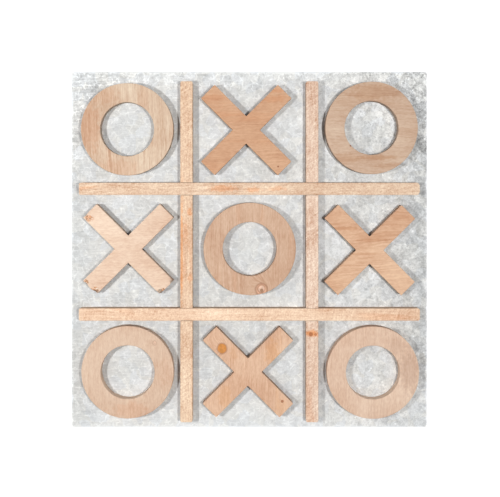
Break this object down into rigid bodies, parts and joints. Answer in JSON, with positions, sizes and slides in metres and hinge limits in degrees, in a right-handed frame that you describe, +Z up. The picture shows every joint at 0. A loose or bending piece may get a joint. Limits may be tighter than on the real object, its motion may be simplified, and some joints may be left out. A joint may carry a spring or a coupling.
{
  "type": "tic tac toe set",
  "caption": "Square galvanised-metal board with a raised wooden grid, and wooden rings and crosses that rest in its cells, held by magnets and lifted off by hand to play.",
  "frame": {"origin": "centre of the set's footprint, on the surface its feet stand on", "axes": "+Z up out of the playing face; +X to the player's right along the horizontal grid strips; +Y away from the player along the vertical grid strips"},
  "size_m": [0.4, 0.4, 0.031],
  "materials": {
    "galvanised_sheet": "hot-dip galvanised, spangled, satin",
    "fibreboard": "raw fibreboard, matt",
    "strip_wood": "unfinished softwood, rough sawn, matt",
    "zinc_plated_steel": "bright zinc plate",
    "foot_rubber": "matt",
    "magnet_nickel": "bright nickel plate",
    "ring_top_left_wood": "unfinished pine, sanded, matt",
    "ring_top_right_wood": "unfinished pine, sanded, matt",
    "ring_centre_wood": "unfinished pine, sanded, matt",
    "ring_bottom_left_wood": "unfinished pine, sanded, matt",
    "ring_bottom_right_wood": "unfinished pine, sanded, matt",
    "cross_top_wood": "unfinished pine, sanded, matt",
    "cross_left_wood": "unfinished pine, sanded, matt",
    "cross_right_wood": "unfinished pine, sanded, matt",
    "cross_bottom_wood": "unfinished pine, sanded, matt"
  },
  "bodies": {
    "board": {"sheet_cover": "galvanised_sheet", "core_panel": "fibreboard", "strip_left": "strip_wood", "strip_right": "strip_wood", "strip_upper": "strip_wood", "strip_lower": "strip_wood", "strip_screws": "zinc_plated_steel", "flange_screws": "zinc_plated_steel", "rubber_feet": "foot_rubber"},
    "ring_top_left": {"ring_top_left": "ring_top_left_wood", "ring_top_left_magnets": "magnet_nickel"},
    "ring_top_right": {"ring_top_right": "ring_top_right_wood", "ring_top_right_magnets": "magnet_nickel"},
    "ring_centre": {"ring_centre": "ring_centre_wood", "ring_centre_magnets": "magnet_nickel"},
    "ring_bottom_left": {"ring_bottom_left": "ring_bottom_left_wood", "ring_bottom_left_magnets": "magnet_nickel"},
    "ring_bottom_right": {"ring_bottom_right": "ring_bottom_right_wood", "ring_bottom_right_magnets": "magnet_nickel"},
    "cross_top": {"cross_top": "cross_top_wood", "cross_top_magnets": "magnet_nickel"},
    "cross_left": {"cross_left": "cross_left_wood", "cross_left_magnets": "magnet_nickel"},
    "cross_right": {"cross_right": "cross_right_wood", "cross_right_magnets": "magnet_nickel"},
    "cross_bottom": {"cross_bottom": "cross_bottom_wood", "cross_bottom_magnets": "magnet_nickel"}
  },
  "joints": [
    {"name": "ring_top_left_lift", "type": "slide", "parent": "board", "child": "ring_top_left", "axis": [0, 0, 1], "range_m": [0, 0.06]},
    {"name": "ring_top_right_lift", "type": "slide", "parent": "board", "child": "ring_top_right", "axis": [0, 0, 1], "range_m": [0, 0.06]},
    {"name": "ring_centre_lift", "type": "slide", "parent": "board", "child": "ring_centre", "axis": [0, 0, 1], "range_m": [0, 0.06]},
    {"name": "ring_bottom_left_lift", "type": "slide", "parent": "board", "child": "ring_bottom_left", "axis": [0, 0, 1], "range_m": [0, 0.06]},
    {"name": "ring_bottom_right_lift", "type": "slide", "parent": "board", "child": "ring_bottom_right", "axis": [0, 0, 1], "range_m": [0, 0.06]},
    {"name": "cross_top_lift", "type": "slide", "parent": "board", "child": "cross_top", "axis": [0, 0, 1], "range_m": [0, 0.06]},
    {"name": "cross_left_lift", "type": "slide", "parent": "board", "child": "cross_left", "axis": [0, 0, 1], "range_m": [0, 0.06]},
    {"name": "cross_right_lift", "type": "slide", "parent": "board", "child": "cross_right", "axis": [0, 0, 1], "range_m": [0, 0.06]},
    {"name": "cross_bottom_lift", "type": "slide", "parent": "board", "child": "cross_bottom", "axis": [0, 0, 1], "range_m": [0, 0.06]}
  ]
}
